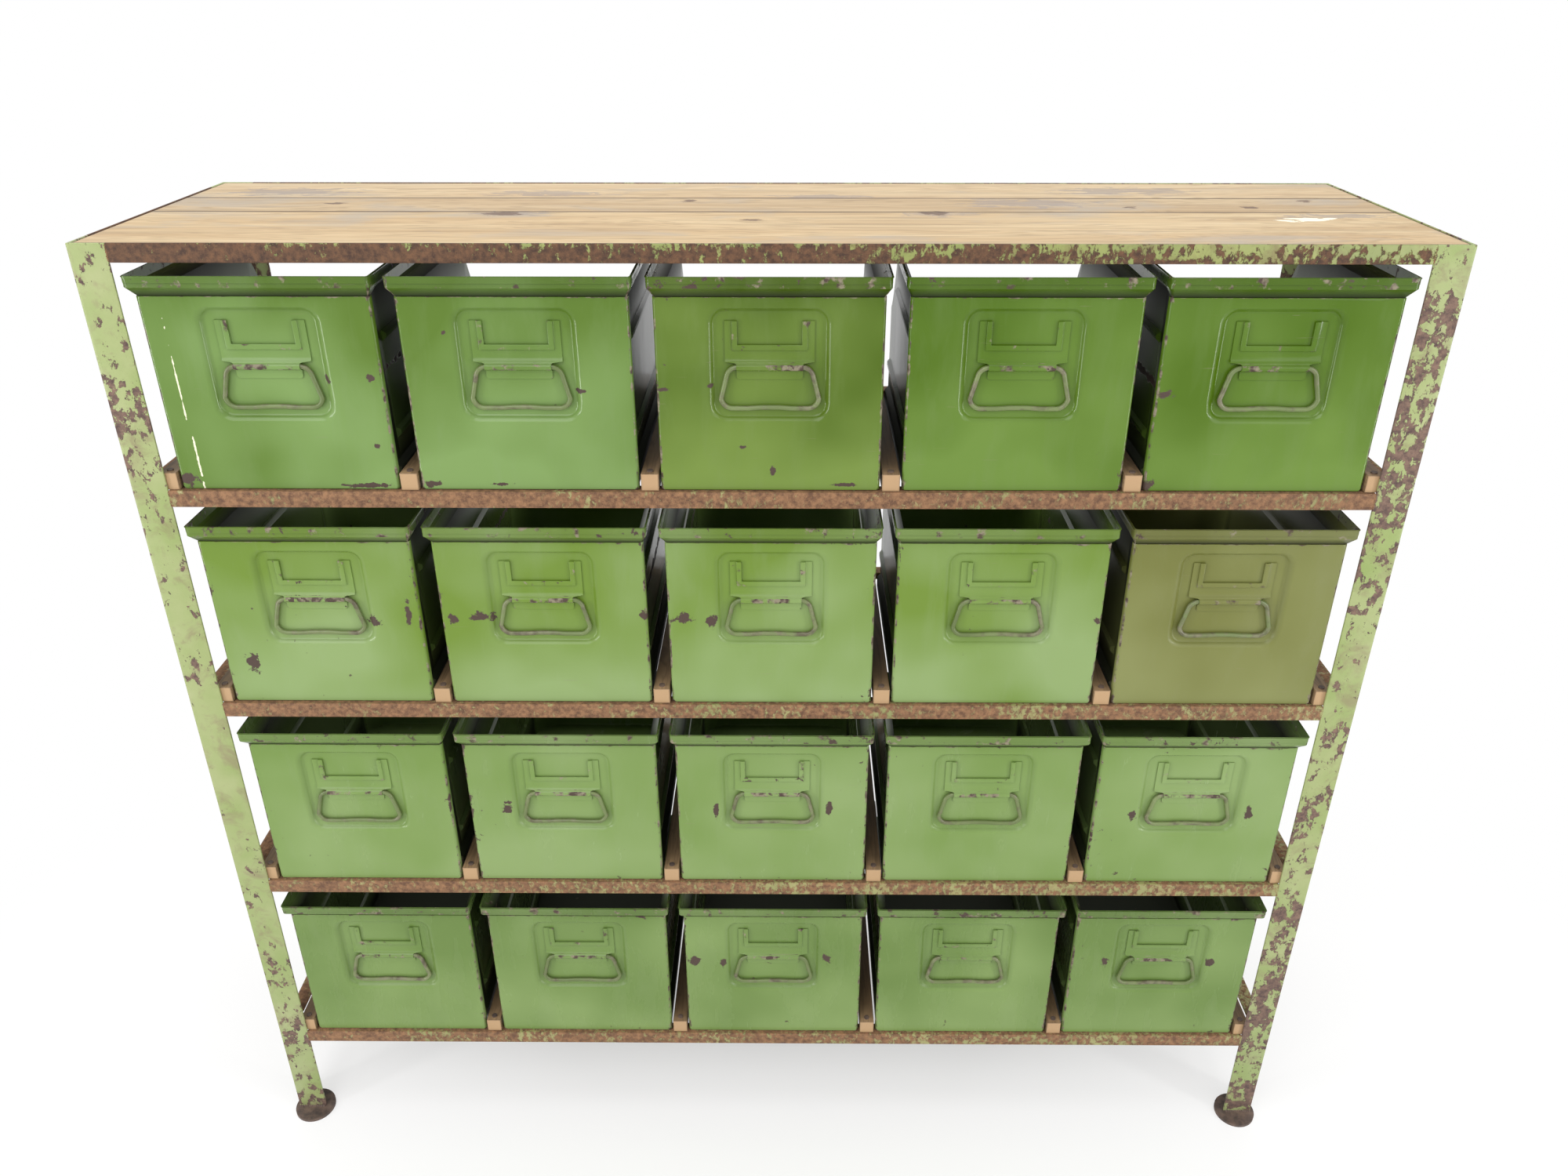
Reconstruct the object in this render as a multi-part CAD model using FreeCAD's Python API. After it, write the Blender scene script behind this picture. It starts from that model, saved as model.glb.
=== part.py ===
import FreeCAD, Part
import math
import os

# Open angle-iron rack with a plank top and twenty steel stacking bins used as drawers.
# Millimetres. Origin on the floor under the middle of the rack, +Z up, the front faces -Y.

V = FreeCAD.Vector

# Layout
rows = 4
columns = 5
bin_gap = 15.0              # between the rims of two bins side by side
post_gap = 10.0             # between an outer rim and the post beside it
row_gap = 22.4              # rim up to the rail above it
top_gap = 12.3              # rim of the top row up to the top rail
bottom_level = 162.5        # lowest shelf above the floor
skin_inset = 6.0            # front sheet of a bin behind the posts' front faces
bin_rear_gap = 8.0          # rear wall of a bin to the rear face of the rack

# Angle iron
angle_thickness = 3.0
post_leg = 40.0
rail_leg = 20.0

# Foot discs under the posts
foot_diameter = 57.0
foot_thickness = 4.5
foot_side_inset = 23.0      # disc centre from the post's outer side face
foot_front_inset = 3.0      # disc centre from the post's front face

# Guide strips between the bins and their screws
strip_width = 20.0
strip_height = 20.5
strip_end_gap = 0.5         # strip end to the inner face of a post
screw_inset = 12.0          # screw from the rack's front or rear face
screw_shank_diameter = 4.0
screw_head_diameter = 7.2
screw_head_height = 1.6
screw_tip = 2.0             # screw end below the rail's leg
screw_clearance = 0.1       # around the shank, per side

# Plank top
plank_sink = 0.5            # plank face below the rails' top edges
plank_edge_gap = 0.5        # planks to the rails round them
plank_seam = 0.6
plank_share_bounds_shares = ((0.0, 0.468), (0.468, 0.709), (0.709, 1.0))

# Bin: body of sheet steel
sheet = 1.25
body_width = 231.5
bin_length = 369.0          # front sheet to rear wall
bin_height = 242.0
lip_height = 15.0
shoulder_drop = 8.5
shoulder_out = 12.25
lip_corner = 4.0
flare_out = 6.0             # side walls spread to meet the front sheet
flare_run = 14.5
rim_run = 256.0             # rim along the sides, from the front sheet
rear_height = 103.0
rear_corner = 40.0
# Top edge of a side wall behind the rim: share of the way back, share of the height above the rear wall
cut_edge_shares = ((0.0, 1.0), (0.23, 0.615), (0.558, 0.239), (1.0, 0.0))

# Bin: stiffening ribs pressed outwards in the side walls
rib_width = 12.0            # at the wall
rib_face = 5.0              # its flat face
rib_proud = 4.0
rib_start = 40.0            # rib end behind the front sheet
rib_end_gap = 14.0          # rib end before the rim's end, or before the rear corner's bend
lower_rib_height = 53.5
upper_rib_height = 165.5

# Bin: foot along the lower edges, where the side walls keep the width of the front
foot_rib_height = 24.0
foot_rib_slope = 6.0        # height over which it runs into the wall

# Bin: front sheet wrapped over the body, with a pressed recess
skin_return = 7.5           # depth of its turned side edges
skin_bend = 3.5
skin_base = 1.0             # its lower edge above the bin's underside
recess_top_margin = 11.9    # recess below the front sheet's upper edge
recess_side_margin = 8.25   # recess wider than the handle, per side
recess_low_margin = 10.7    # recess below the hanging handle
recess_corner = 17.0
recess_depth = 6.0
recess_slope = 4.0          # lean of its sides over its depth
window_gap = 0.5            # body's cut-out round the recess

# Bin: label holder with the handle's hinge strap
label_top_margin = 14.3     # holder below the recess's upper edge
label_width = 96.4
label_height = 44.7
label_arm = 13.6
label_bar = 18.9
label_proud = 2.5
label_rise = 5.1            # holder's lower edge above the hinge axis
knuckle_back = 0.6          # strap metal between the hinge bore and the recess floor
knuckle_end_gap = 0.4       # strap end to the handle's bend
tab_width = 72.0
tab_drop = 14.1             # tab's lower edge below the hinge axis

# Handle: closed wire loop
wire_radius = 2.75
hinge_clearance = 0.05
handle_top_width = 91.2     # between the wire centres, at the hinge
handle_bottom_width = 107.0
handle_drop = 46.3
handle_top_bend = 11.0
handle_bottom_bend = 14.0

overrun = 5.0               # cutting shapes run on past the faces they cut
full_turn = 360.0

# Sizes that follow
rim_width = body_width + 2 * shoulder_out
bin_pitch = rim_width + bin_gap
frame_width = (columns - 1) * bin_pitch + rim_width + 2 * (post_gap + post_leg)
frame_depth = skin_inset + bin_length + bin_rear_gap
level_pitch = bin_height + row_gap + rail_leg
frame_height = bottom_level + (rows - 1) * level_pitch + bin_height + top_gap + rail_leg
half_width = frame_width / 2
half_depth = frame_depth / 2
rail_reach = half_width - post_leg

wall_top = bin_height - lip_height - shoulder_drop
lip_base = bin_height - lip_height
wall_front = skin_inset + sheet
bin_rear = skin_inset + bin_length
rim_end = skin_inset + rim_run
flare_start = skin_inset + skin_return
flare_end = flare_start + flare_run
nose = skin_bend - sheet
side_half = body_width / 2
front_half = side_half + flare_out
skin_half = front_half + sheet
rim_half = rim_width / 2
shoulder_lift = sheet / 2   # inner shoulder above the outer one keeps the sheet even

recess_top = wall_top - recess_top_margin
label_top = recess_top - label_top_margin
label_base = label_top - label_height
hinge_height = label_base - label_rise
recess_base = hinge_height - handle_drop - wire_radius - recess_low_margin
recess_width = handle_bottom_width + 2 * (wire_radius + recess_side_margin)
recess_height = recess_top - recess_base
recess_middle = (recess_top + recess_base) / 2
recess_floor = skin_inset + recess_depth
bore_radius = wire_radius + hinge_clearance
knuckle_radius = bore_radius + sheet
hinge_depth = recess_floor - knuckle_back - bore_radius


def block(low, high):
    """Box between two corners given as (x, y, z)."""
    size = [b - a for a, b in zip(low, high)]
    return Part.makeBox(size[0], size[1], size[2], V(*low))


def angle_bar(corner, leg_a, leg_b, run, leg):
    """Angle iron: outer corner line starts at `corner`, legs point along leg_a and leg_b."""
    t = angle_thickness
    marks = ((0, 0), (leg, 0), (leg, t), (t, t), (t, leg), (0, leg))
    points = [corner + leg_a * a + leg_b * b for a, b in marks]
    return Part.Face(Part.makePolygon(points + points[:1])).extrude(run)


def one_solid(shape):
    """The single solid a boolean left, with its split faces joined."""
    return shape.removeSplitter().Solids[0]


def export(name, solids):
    shape = solids[0] if len(solids) == 1 else Part.makeCompound(solids)
    shape.exportStep("parts/" + name + ".step")


# Rack

def level_height(row):
    """Top of a row's shelf rails; row 0 is the top one."""
    return bottom_level + (rows - 1 - row) * level_pitch


def column_centre(column):
    return (column - (columns - 1) / 2) * bin_pitch


def strip_centres():
    """Guide strips stand midway between bins and outside the outer ones."""
    return [(i - columns / 2) * bin_pitch for i in range(columns + 1)]


def post(side, end):
    """side -1 left, 1 right; end -1 front, 1 rear."""
    corner = V(side * half_width, end * half_depth, foot_thickness)
    run = V(0, 0, frame_height - foot_thickness)
    return angle_bar(corner, V(-side, 0, 0), V(0, -end, 0), run, post_leg)


def foot(side, end):
    centre = V(side * (half_width - foot_side_inset), end * (half_depth - foot_front_inset), 0)
    return Part.makeCylinder(foot_diameter / 2, foot_thickness, centre)


def long_rail(end, height, leg_up):
    """Front or rear rail between the posts; leg_up 1 turns its upright leg up from `height`."""
    corner = V(-rail_reach, end * half_depth, height)
    return angle_bar(corner, V(0, -end, 0), V(0, 0, leg_up), V(2 * rail_reach, 0, 0), rail_leg)


def side_rail(side, height, leg_up):
    corner = V(side * half_width, post_leg - half_depth, height)
    run = V(0, frame_depth - 2 * post_leg, 0)
    return angle_bar(corner, V(-side, 0, 0), V(0, 0, leg_up), run, rail_leg)


def screw_places(height):
    """Points on a shelf where the screws go, at the height given."""
    depth = half_depth - screw_inset
    return [V(x, y, height) for x in strip_centres() for y in (-depth, depth)]


def drilled(shape, level):
    """Shape with the screw holes of a shelf through it."""
    radius = screw_shank_diameter / 2 + screw_clearance
    length = rail_leg + strip_height
    holes = [Part.makeCylinder(radius, length, p) for p in screw_places(level - rail_leg)]
    return shape.cut(Part.makeCompound(holes)).Solids[0]


def shelf_rails(row):
    level = level_height(row)
    long_rails = [drilled(long_rail(end, level, -1), level) for end in (-1, 1)]
    return long_rails + [side_rail(side, level, -1) for side in (-1, 1)]


def guide_strips(row):
    level = level_height(row)
    reach = half_depth - angle_thickness - strip_end_gap
    strips = []
    for x in strip_centres():
        low = (x - strip_width / 2, -reach, level)
        high = (x + strip_width / 2, reach, level + strip_height)
        strips.append(drilled(block(low, high), level))
    return strips


def screw(seat):
    """Screw whose head sits on the strip at `seat`."""
    depth = strip_height + angle_thickness + screw_tip
    shank = Part.makeCylinder(screw_shank_diameter / 2, depth, seat - V(0, 0, depth))
    head = Part.makeCylinder(screw_head_diameter / 2, screw_head_height, seat)
    return one_solid(shank.fuse(head))


def screws():
    tops = [level_height(row) + strip_height for row in range(rows)]
    return [screw(p) for top in tops for p in screw_places(top)]


def plank(bounds):
    """One board of the top, lying on the rails' inner legs; bounds share out the depth."""
    reach = half_width - angle_thickness - plank_edge_gap
    depth = 2 * (half_depth - angle_thickness - plank_edge_gap)
    front = depth * (bounds[0] - 1 / 2)
    rear = depth * (bounds[1] - 1 / 2)
    seam = plank_seam if bounds[1] < 1 else 0
    low = (-reach, front, frame_height - rail_leg + angle_thickness)
    high = (reach, rear - seam, frame_height - plank_sink)
    return block(low, high)


# Bin

def plan_wire(front, half_front, half_side, nose_cut, rear, height):
    """Outline seen from above, flared towards the front, with its front corners cut."""
    right = [(half_front - nose_cut, front), (half_front, front + nose_cut)]
    right += [(half_front, flare_start), (half_side, flare_end), (half_side, rear)]
    left = [(-x, y) for x, y in reversed(right)]
    points = [V(x, y, height) for x, y in right + left]
    return Part.makePolygon(points + points[:1])


def wall_wire(inset, rear, height):
    """Outline of the body's walls, moved inwards by `inset`."""
    return plan_wire(wall_front + inset, front_half - inset, side_half - inset, nose, rear, height)


def lip_wire(inset, rear, height):
    front = wall_front - shoulder_out + inset
    half = rim_half - inset
    return plan_wire(front, half, half, lip_corner, rear, height)


def upright(wire, rise):
    return Part.Face(wire).extrude(V(0, 0, rise))


def round_rear(solid, rear, radius):
    """Round the two upright edges at the rear of a prism."""
    edges = []
    for edge in solid.Edges:
        ends = [v.Point for v in edge.Vertexes]
        if all(abs(p.y - rear) < sheet / 2 for p in ends) and abs(ends[0].z - ends[1].z) > sheet:
            edges.append(edge)
    return solid.makeFillet(radius, edges)


def rim_block(inset, rear, top):
    """Solid filling the rim's outline: sloping shoulder and upright lip."""
    lift = shoulder_lift if inset else 0
    low = wall_wire(inset, rear, wall_top + lift)
    high = lip_wire(inset, rear, lip_base + lift)
    shoulder = Part.makeLoft([low, high], True, True)
    lip = upright(high, top - lip_base - lift)
    return shoulder.fuse(lip)


def rib(side, height, end, inset):
    """Pressed rib on a side wall, or with `inset` its hollow, `inset` inside its faces."""
    slope = (rib_width - rib_face) / 2 / rib_proud
    shrink = inset * math.hypot(1, slope)
    start = skin_inset + rib_start
    wires = []
    for out in (-sheet / 2 - inset, rib_proud - inset):
        lean = slope * out + shrink
        half = rib_width / 2 - lean
        x = side * (side_half + out)
        marks = ((start + lean, -half), (end - lean, -half), (end - lean, half), (start + lean, half))
        points = [V(x, y, height + z) for y, z in marks]
        wires.append(Part.makePolygon(points + points[:1]))
    return Part.makeLoft(wires, True, True)


def foot_rib(side, end, inset):
    """Wider foot of a side wall, or with `inset` its hollow."""
    slope = foot_rib_slope / flare_out
    shrink = inset * math.hypot(1, slope)
    wires = []
    for out in (-sheet / 2 - inset, flare_out - inset):
        lean = slope * out + shrink
        x = side * (side_half + out)
        high = foot_rib_height - lean
        marks = ((flare_start, inset), (end - lean, inset), (end - lean, high), (flare_start, high))
        points = [V(x, y, z) for y, z in marks]
        wires.append(Part.makePolygon(points + points[:1]))
    return Part.makeLoft(wires, True, True)


def ribs(inset):
    upper_end = rim_end - rib_end_gap
    lower_end = bin_rear - rear_corner - rib_end_gap
    places = ((upper_rib_height, upper_end), (lower_rib_height, lower_end))
    found = []
    for side in (-1, 1):
        found += [rib(side, height, end, inset) for height, end in places]
        found.append(foot_rib(side, lower_end, inset))
    return found


def rear_cutter():
    """Removes what lies above the swept top edge behind the rim."""
    run = bin_rear - rim_end
    drop = wall_top - rear_height
    marks = [V(-rim_half, rim_end + a * run, rear_height + b * drop) for a, b in cut_edge_shares]
    past = V(-rim_half, bin_rear + overrun, rear_height)
    above = past + V(0, 0, drop + overrun)
    corner = marks[0] + V(0, 0, overrun)
    edges = [Part.makeLine(marks[0], marks[1])]
    edges.append(Part.Arc(marks[1], marks[2], marks[3]).toShape())
    edges += [Part.makeLine(a, b) for a, b in ((marks[3], past), (past, above), (above, corner))]
    edges.append(Part.makeLine(corner, marks[0]))
    return Part.Face(Part.Wire(edges)).extrude(V(rim_width, 0, 0))


def rounded_frame(width, height, radius, depth):
    """Upright rounded rectangle centred on the recess, at the depth given."""
    x = width / 2
    z = height / 2
    corners = ((x, -z), (x, z), (-x, z), (-x, -z))
    edges = []
    last = None
    first = None
    for cx, cz in corners:
        sx = math.copysign(radius, cx)
        sz = math.copysign(radius, cz)
        middle = V(cx - sx, depth, recess_middle + cz - sz)
        a = middle + V(sx, 0, 0)
        b = middle + V(0, 0, sz)
        start, end = (a, b) if cx * cz > 0 else (b, a)
        bow = middle + V(sx, 0, sz) * math.sqrt(1 / 2)
        if last:
            edges.append(Part.makeLine(last, start))
        first = first or start
        edges.append(Part.Arc(start, bow, end).toShape())
        last = end
    edges.append(Part.makeLine(last, first))
    return Part.Wire(edges)


def recess_plug(grow, depth):
    """Tapered plug of the recess, `grow` wider all round and `depth` deep."""
    lean = 2 * recess_slope * depth / recess_depth
    width = recess_width + 2 * grow
    height = recess_height + 2 * grow
    radius = recess_corner + grow
    low = rounded_frame(width, height, radius, skin_inset)
    deep = rounded_frame(width - lean, height - lean, radius - lean / 2, skin_inset + depth)
    return Part.makeLoft([low, deep], True, True)


def bin_body():
    """Walls, floor and rim of one bin, of one sheet thickness all over."""
    outer = round_rear(upright(wall_wire(0, bin_rear, 0), wall_top), bin_rear, rear_corner)
    outer = outer.multiFuse([rim_block(0, rim_end, bin_height)] + ribs(0))
    inner_rear = bin_rear - sheet
    rise = wall_top + shoulder_lift - sheet
    inner = upright(wall_wire(sheet, inner_rear, sheet), rise)
    inner = round_rear(inner, inner_rear, rear_corner - sheet)
    rim_hollow = rim_block(sheet, rim_end + overrun, bin_height + overrun)
    inner = inner.multiFuse([rim_hollow] + ribs(sheet))
    window_edge = sheet + window_gap
    wire = rounded_frame(recess_width + 2 * window_edge, recess_height + 2 * window_edge,
                         recess_corner + window_edge, skin_inset)
    window = Part.Face(wire).extrude(V(0, recess_depth + overrun, 0))
    return one_solid(outer.cut(inner).cut(rear_cutter()).cut(window))


def fronted_block(half, front, rear, low, high, radius):
    """Block whose two upright front edges are rounded."""
    solid = block((-half, front, low), (half, rear, high))
    edges = []
    for edge in solid.Edges:
        ends = [v.Point for v in edge.Vertexes]
        if all(abs(p.y - front) < sheet / 2 for p in ends) and abs(ends[0].z - ends[1].z) > sheet:
            edges.append(edge)
    return solid.makeFillet(radius, edges)


def bin_front():
    """Front sheet with turned side edges and the pressed recess."""
    outer = fronted_block(skin_half, skin_inset, flare_start, skin_base, wall_top, skin_bend)
    low = skin_base - overrun
    high = wall_top + overrun
    inner = fronted_block(front_half, wall_front, flare_start + overrun, low, high, nose)
    dish = recess_plug(sheet, recess_depth + sheet)
    return one_solid(outer.cut(inner).fuse(dish).cut(recess_plug(0, recess_depth)))


def handle_corners():
    """Wire centre line of the hanging handle, on the hinge axis and below it."""
    low = hinge_height - handle_drop
    places = ((-handle_top_width, hinge_height), (handle_top_width, hinge_height),
              (handle_bottom_width, low), (-handle_bottom_width, low))
    return [V(width / 2, hinge_depth, z) for width, z in places]


def bend(before, corner, after, radius):
    """Tangent arc at a corner: its start, its end and its centre."""
    back = (before - corner).normalize()
    ahead = (after - corner).normalize()
    half = back.getAngle(ahead) / 2
    reach = radius / math.tan(half)
    middle = (back + ahead).normalize()
    centre = corner + middle * (radius / math.sin(half))
    return corner + back * reach, corner + ahead * reach, centre


def handle_bends():
    corners = handle_corners()
    radii = (handle_top_bend, handle_top_bend, handle_bottom_bend, handle_bottom_bend)
    count = len(corners)
    return [bend(corners[i - 1], corners[i], corners[(i + 1) % count], radii[i]) for i in range(count)]


def rod_bend(start, end, centre, heading):
    """Round wire turned about `centre` from start to end."""
    arm = start - centre
    turn = arm.getAngle(end - centre) * full_turn / (2 * math.pi)
    disc = Part.Face(Part.Wire(Part.makeCircle(wire_radius, start, heading)))
    return disc.revolve(centre, arm.cross(heading), turn)


def handle():
    bends = handle_bends()
    pieces = []
    for i, (start, end, centre) in enumerate(bends):
        before = bends[i - 1][1]
        heading = start - before
        pieces.append(Part.makeCylinder(wire_radius, heading.Length, before, heading))
        pieces.append(rod_bend(start, end, centre, heading))
    return pieces[0].multiFuse(pieces[1:]).Solids[0]


def label_holder():
    """U-shaped holder, rolled hinge strap and spot-welded tab, all one piece of sheet."""
    face = recess_floor - label_proud
    half = label_width / 2
    knuckle_half = handle_bends()[1][0].x - knuckle_end_gap
    plate = block((-half, face, label_base), (half, recess_floor, label_top))
    slot_low = (label_arm - half, face - overrun, label_base + label_bar)
    slot = block(slot_low, (half - label_arm, recess_floor + overrun, label_top + overrun))
    neck = block((-knuckle_half, face, hinge_height), (knuckle_half, recess_floor, label_base))
    roll = Part.makeCylinder(knuckle_radius, 2 * knuckle_half,
                             V(-knuckle_half, hinge_depth, hinge_height), V(1, 0, 0))
    seat = block((-knuckle_half, hinge_depth, hinge_height - knuckle_radius),
                 (knuckle_half, recess_floor, hinge_height + knuckle_radius))
    tab = block((-tab_width / 2, recess_floor - sheet, hinge_height - tab_drop),
                (tab_width / 2, recess_floor, hinge_height))
    bore = Part.makeCylinder(bore_radius, 2 * (knuckle_half + overrun),
                             V(-knuckle_half - overrun, hinge_depth, hinge_height), V(1, 0, 0))
    return one_solid(plate.cut(slot).multiFuse([neck, roll, seat, tab]).cut(bore))


def moved(solid, place):
    copy = solid.copy()
    copy.translate(place)
    return copy


os.makedirs("parts", exist_ok=True)

for side, side_name in ((-1, "left"), (1, "right")):
    export("post_front_" + side_name, [post(side, -1)])
    export("post_rear_" + side_name, [post(side, 1)])
export("foot_discs", [foot(side, end) for side in (-1, 1) for end in (-1, 1)])

top_rail_level = frame_height - rail_leg
export("top_rail_front", [long_rail(-1, top_rail_level, 1)])
export("top_rail_rear", [long_rail(1, top_rail_level, 1)])
export("top_rails_side", [side_rail(side, top_rail_level, 1) for side in (-1, 1)])
for name, plank_bounds in zip(("front", "middle", "rear"), plank_share_bounds_shares):
    export("top_plank_" + name, [plank(plank_bounds)])

for row in range(rows):
    export("shelf_rails_r" + str(row + 1), shelf_rails(row))
    export("guide_strips_r" + str(row + 1), guide_strips(row))
export("strip_screws", screws())

bin_solids = [bin_body(), bin_front(), label_holder()]
handle_solid = handle()
for row in range(rows):
    for column in range(columns):
        place = V(column_centre(column), -half_depth, level_height(row))
        tag = "_r" + str(row + 1) + "_c" + str(column + 1)
        export("bin" + tag, [moved(solid, place) for solid in bin_solids])
        export("handle" + tag, [moved(handle_solid, place)])
print("frame", frame_width, frame_depth, frame_height, "hinge", hinge_height, hinge_depth)
print("bin volumes", [round(s.Volume) for s in bin_solids], "handle", round(handle_solid.Volume))
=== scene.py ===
import math
import random
import bmesh
import bpy
from mathutils import Matrix, Vector


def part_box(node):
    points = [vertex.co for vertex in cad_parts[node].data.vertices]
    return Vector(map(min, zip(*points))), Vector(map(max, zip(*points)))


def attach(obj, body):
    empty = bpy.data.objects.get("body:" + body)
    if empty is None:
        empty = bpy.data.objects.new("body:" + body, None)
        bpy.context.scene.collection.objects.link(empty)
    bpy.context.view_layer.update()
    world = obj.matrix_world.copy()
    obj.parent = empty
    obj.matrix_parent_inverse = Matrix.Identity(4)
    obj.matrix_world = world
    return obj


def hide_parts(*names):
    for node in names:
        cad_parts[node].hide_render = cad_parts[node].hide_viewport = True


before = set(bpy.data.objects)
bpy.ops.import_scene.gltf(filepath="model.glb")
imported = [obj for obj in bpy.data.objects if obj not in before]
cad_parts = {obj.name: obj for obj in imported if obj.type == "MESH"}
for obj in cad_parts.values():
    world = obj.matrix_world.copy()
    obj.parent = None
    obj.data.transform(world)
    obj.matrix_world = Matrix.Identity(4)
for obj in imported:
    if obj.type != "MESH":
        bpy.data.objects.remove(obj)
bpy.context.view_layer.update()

MM = 0.001
TINY = 0.05 * MM
ROWS = range(1, 5)
COLUMNS = range(1, 6)


# Hand tools

def primitive(add, name, **settings):
    """A new primitive, alone selected, its place in its mesh, open in edit mode."""
    bpy.ops.object.select_all(action="DESELECT")
    add(**settings)
    piece = bpy.context.object
    piece.name = piece.data.name = name
    bpy.ops.object.transform_apply(location=True, rotation=True, scale=True)
    bpy.ops.object.mode_set(mode="EDIT")
    bpy.ops.mesh.select_all(action="SELECT")
    return piece


def middle(item):
    if isinstance(item, bmesh.types.BMVert):
        return item.co
    if isinstance(item, bmesh.types.BMEdge):
        return (item.verts[0].co + item.verts[1].co) / 2
    return item.calc_center_median()


def pick(piece, kind, test):
    """Select the vertices, edges or faces that pass the test."""
    bpy.ops.mesh.select_mode(type=kind)
    bpy.ops.mesh.select_all(action="DESELECT")
    mesh = bmesh.from_edit_mesh(piece.data)
    items = {"VERT": mesh.verts, "EDGE": mesh.edges, "FACE": mesh.faces}[kind]
    for item in items:
        if test(middle(item), item):
            item.select_set(True)
    mesh.select_flush_mode()
    bmesh.update_edit_mesh(piece.data)


def move(x, y, z):
    bpy.ops.transform.translate(value=(x, y, z))


def widen(x, y, z, about):
    bpy.ops.transform.resize(value=(x, y, z), center_override=about)


def extrude(x, y, z):
    bpy.ops.mesh.extrude_region_move(TRANSFORM_OT_translate={"value": (x, y, z)})


def push(distance):
    """Move the selection along its normals."""
    bpy.ops.transform.shrink_fatten(value=distance, use_even_offset=True)


def cut(point, normal):
    """Add edges where a plane meets the selection."""
    bpy.ops.mesh.bisect(plane_co=point, plane_no=normal)


def cut_all(point, normal):
    bpy.ops.mesh.select_all(action="SELECT")
    cut(point, normal)


def round_edges(offset, segments):
    bpy.ops.mesh.bevel(offset=offset, segments=segments, affect="EDGES")


def round_corners(offset, segments):
    bpy.ops.mesh.bevel(offset=offset, segments=segments, affect="VERTICES")


def choose(piece):
    """Make the piece active and the only one selected."""
    bpy.ops.object.select_all(action="DESELECT")
    piece.select_set(True)
    bpy.context.view_layer.objects.active = piece


def modify(piece, kind, **settings):
    choose(piece)
    modifier = piece.modifiers.new(kind.title(), kind)
    for key, value in settings.items():
        setattr(modifier, key, value)
    bpy.ops.object.modifier_apply(modifier=modifier.name)


def smooth(piece, degrees=35):
    choose(piece)
    bpy.ops.object.shade_smooth_by_angle(angle=math.radians(degrees))


def edit_done():
    bpy.ops.object.mode_set(mode="OBJECT")


FLAT_TURN, FOLD_RANGE, FOLD_LIMIT = 0.28, 0.12, 1.0


def mark_folds(piece, shade_and_grime_at=lambda at: 0, wear=lambda at, turn: turn):
    """Store how worn each point is, by how sharp an outward fold it sits on, and how much painted shade
    and grime darken it.
    """
    mesh = bmesh.new()
    mesh.from_mesh(piece.data)
    sharp = []
    for vert in mesh.verts:
        angles = [edge.calc_face_angle_signed(0) for edge in vert.link_edges if edge.is_manifold]
        turn = max((angle for angle in angles if angle < FOLD_LIMIT), default=0)
        sharp.append(wear(vert.co, min(max((turn - FLAT_TURN) / FOLD_RANGE, 0), 1)))
    mesh.free()
    layer = piece.data.attributes.new("fold", "FLOAT", "POINT")
    layer.data.foreach_set("value", sharp)
    layer = piece.data.attributes.new("shade_and_grime", "FLOAT", "POINT")
    layer.data.foreach_set("value", [float(shade_and_grime_at(vert.co)) for vert in piece.data.vertices])


def copy_at(pattern, name, spot):
    """Copy of a piece with its own mesh, moved to its place in that mesh."""
    mesh = pattern.data.copy()
    mesh.transform(spot)
    piece = bpy.data.objects.new(name, mesh)
    bpy.context.collection.objects.link(piece)
    return piece


def drop(piece):
    bpy.data.objects.remove(piece, do_unlink=True)


# Sizes of a bin; places count from the middle of its front, the posts' front faces and its underside

BIN_PITCH = 271 * MM
SHEET = 1.25 * MM
SIDE = 115.75 * MM
WALL_FRONT = 7.25 * MM
BIN_REAR = 375 * MM
REAR_CORNER = 40 * MM
WALL_TOP = 218.5 * MM
SHOULDER_DROP = 11.5 * MM
SHOULDER_OUT = 12.25 * MM
LIP = 12 * MM
CORNER = 2.25 * MM
LIP_CORNER = 5 * MM
LIP_OVERHANG = 5 * MM
LIP_WIDTH = 2.4 * MM
LIP_TURN = 5 * MM
RIM_FOLD = 1.4 * MM
FLOOR_FOLD = 3 * MM
FLARE_START = 13.5 * MM
FLARE_END = 28 * MM
FLARE = 6 * MM
RIM_END = 262 * MM
REAR_HEIGHT = 103 * MM
RIB_HEIGHTS = ((165.5 * MM, 248 * MM), (53.5 * MM, 321 * MM))
RIB_START = 46 * MM
RIB_HALF = 6 * MM
RIB_SLOPE = 3.5 * MM
RIB_DEPTH = 4 * MM
FOOT_RIB = 24 * MM
FOOT_SLOPE = 6 * MM
SKIN_FRONT = 6 * MM
SKIN_HALF = 123 * MM
SKIN_LOW = 1 * MM
SKIN_SIDE_FOLD = 3.4 * MM
SKIN_TOP_FOLD = 1 * MM
WINDOW_HALF, WINDOW_LOW, WINDOW_HIGH = 70 * MM, 78 * MM, 211 * MM
RECESS_FLOOR = 12 * MM
RECESS_WIDTH, RECESS_HEIGHT, RECESS_MIDDLE = 129 * MM, 123.9 * MM, 144.65 * MM
RECESS_CORNER = 17 * MM
RECESS_WALL = 4 * MM
RECESS_INNER_FOLD, RECESS_OUTER_FOLD = 2.1 * MM, 4.6 * MM
HINGE = Vector((0, 8.6 * MM, 142.5 * MM))
WIRE = 2.75 * MM
WIRE_BEND = 12.5 * MM
LOOP_TOP_HALF, LOOP_LOW_HALF = 34.7 * MM, 40.9 * MM
LOOP_DROP = 46.3 * MM


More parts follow.
